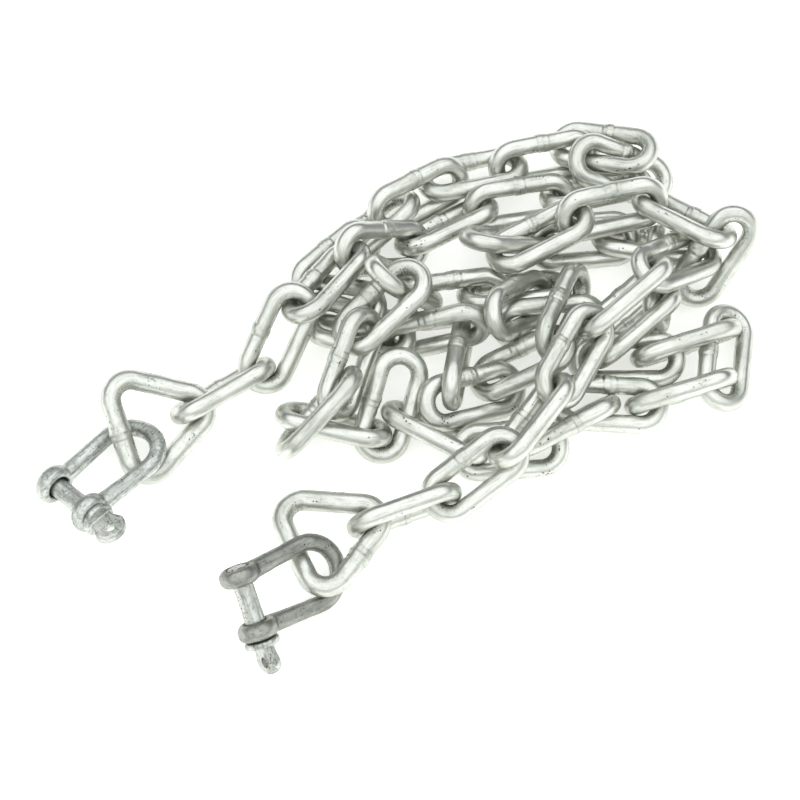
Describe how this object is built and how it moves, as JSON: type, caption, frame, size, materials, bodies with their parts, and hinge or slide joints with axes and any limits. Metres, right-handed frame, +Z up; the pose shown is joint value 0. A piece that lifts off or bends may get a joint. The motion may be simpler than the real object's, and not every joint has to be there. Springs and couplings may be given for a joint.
{
  "type": "heap of welded steel chain with shackled ends",
  "caption": "Length of galvanised welded steel chain lying in a loose heap, with a delta link and a screw-pin bow shackle at each end.",
  "frame": {"origin": "middle of the bounding box, at its bottom, on the floor that the heap lies on", "axes": "+Z up; +X along the heap's longest extent, to the right in the picture; +Y away from the camera"},
  "size_m": [0.3286, 0.2796, 0.0511],
  "materials": {
    "chain_zinc": "hot-dip galvanised, bright grey with a soft sheen, small dark flecks",
    "delta_zinc": "hot-dip galvanised, bright grey with drips at the welds",
    "bow_zinc": "hot-dip galvanised forging, dull mid grey, slightly stained",
    "pin_zinc": "hot-dip galvanised, dull grey, light rust tint at the front pin's tip"
  },
  "bodies": {
    "root": {"link_01": "chain_zinc", "link_02": "chain_zinc", "link_03": "chain_zinc", "link_04": "chain_zinc", "link_05": "chain_zinc", "link_06": "chain_zinc", "link_07": "chain_zinc", "link_08": "chain_zinc", "link_09": "chain_zinc", "link_10": "chain_zinc", "link_11": "chain_zinc", "link_12": "chain_zinc", "link_13": "chain_zinc", "link_14": "chain_zinc", "link_15": "chain_zinc", "link_16": "chain_zinc", "link_17": "chain_zinc", "link_18": "chain_zinc", "link_19": "chain_zinc", "link_20": "chain_zinc", "link_21": "chain_zinc", "link_22": "chain_zinc", "link_23": "chain_zinc", "link_24": "chain_zinc", "link_25": "chain_zinc", "link_26": "chain_zinc", "link_27": "chain_zinc", "link_28": "chain_zinc", "link_29": "chain_zinc", "link_30": "chain_zinc", "link_31": "chain_zinc", "link_32": "chain_zinc", "link_33": "chain_zinc", "link_34": "chain_zinc", "link_35": "chain_zinc", "link_36": "chain_zinc", "link_37": "chain_zinc", "link_38": "chain_zinc", "link_39": "chain_zinc", "link_40": "chain_zinc", "link_41": "chain_zinc", "link_42": "chain_zinc", "link_43": "chain_zinc", "link_44": "chain_zinc", "link_45": "chain_zinc", "link_46": "chain_zinc", "link_47": "chain_zinc", "link_48": "chain_zinc", "link_49": "chain_zinc", "link_50": "chain_zinc", "link_51": "chain_zinc", "link_52": "chain_zinc", "link_53": "chain_zinc", "link_54": "chain_zinc", "delta_link_left": "delta_zinc", "delta_link_front": "delta_zinc", "shackle_bow_left": "bow_zinc", "shackle_bow_front": "bow_zinc", "shackle_pin_left": "pin_zinc", "shackle_pin_front": "pin_zinc"}
  },
  "joints": []
}
